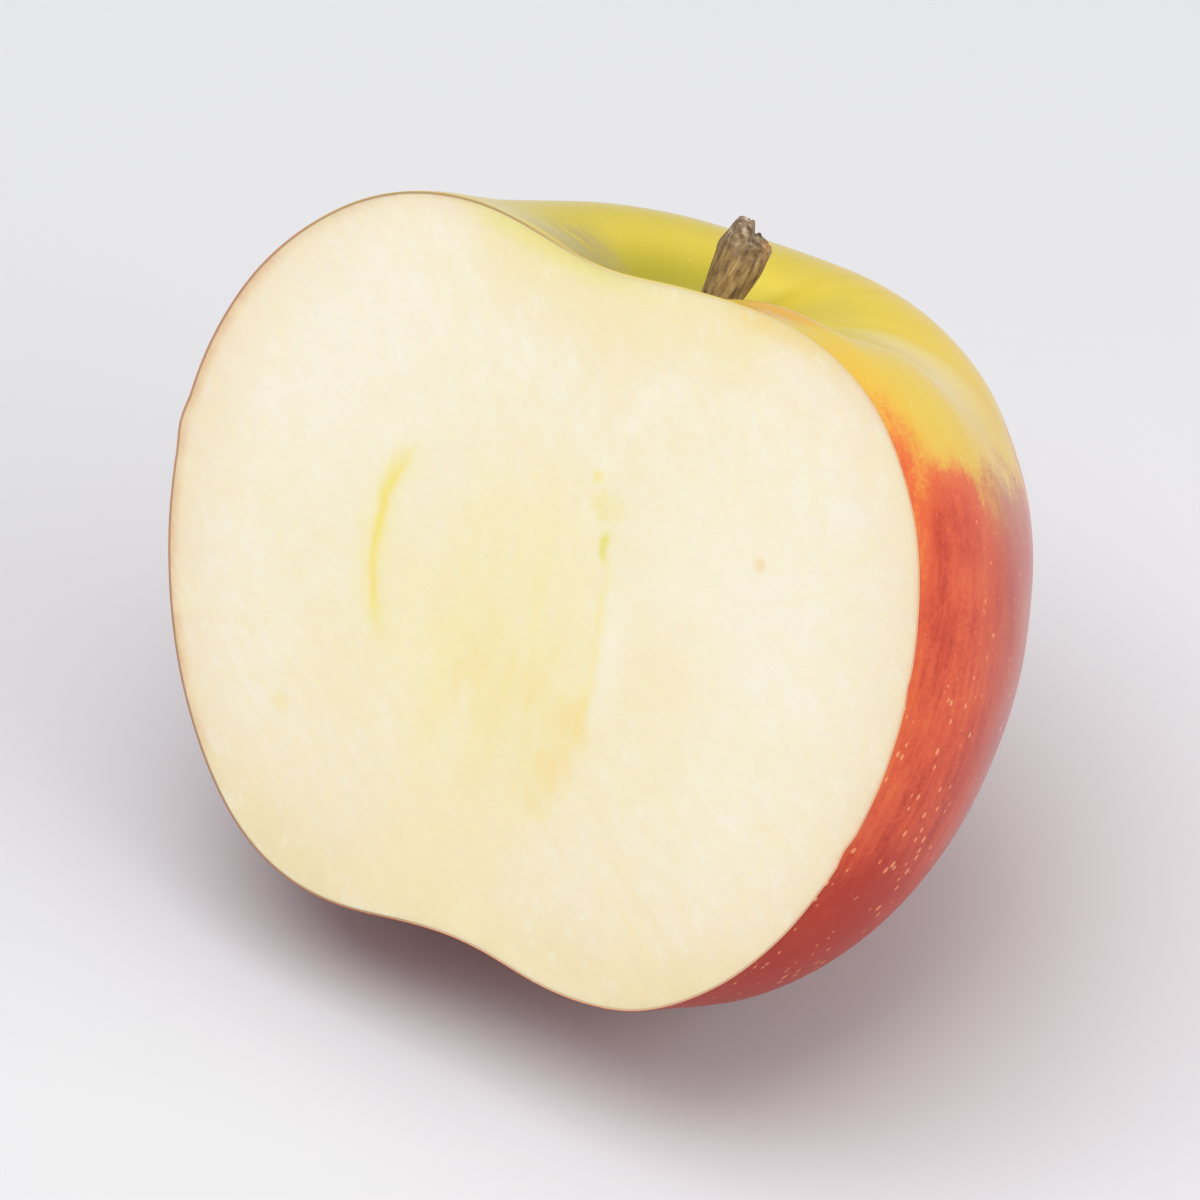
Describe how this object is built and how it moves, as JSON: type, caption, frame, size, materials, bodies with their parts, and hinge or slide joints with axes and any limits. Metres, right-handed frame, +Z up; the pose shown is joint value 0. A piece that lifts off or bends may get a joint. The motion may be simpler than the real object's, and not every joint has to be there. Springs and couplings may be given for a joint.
{
  "type": "apple half",
  "caption": "Half of a red and yellow dessert apple, cut from stem to eye, lying back on its skin with the pale cut face towards the front and the short stem still in place.",
  "frame": {"origin": "middle of the small flat spot that the half rests on, at table height", "axes": "+Z up, -Y the way the cut face looks, seen from above, +X to the right of somebody who faces the cut"},
  "size_m": [0.0745, 0.0597, 0.0673],
  "materials": {
    "flesh": "moist cream apple flesh, paler towards the skin and yellower over the core",
    "skin": "waxy apple skin, orange red with pale specks, yellow to green over the shoulder",
    "stem": "dry grey brown stalk with lengthwise ridges and a torn end",
    "calyx": "dry dark brown sepals"
  },
  "bodies": {
    "root": {"apple_half": "flesh", "stem": "stem", "calyx": "calyx"}
  },
  "joints": []
}
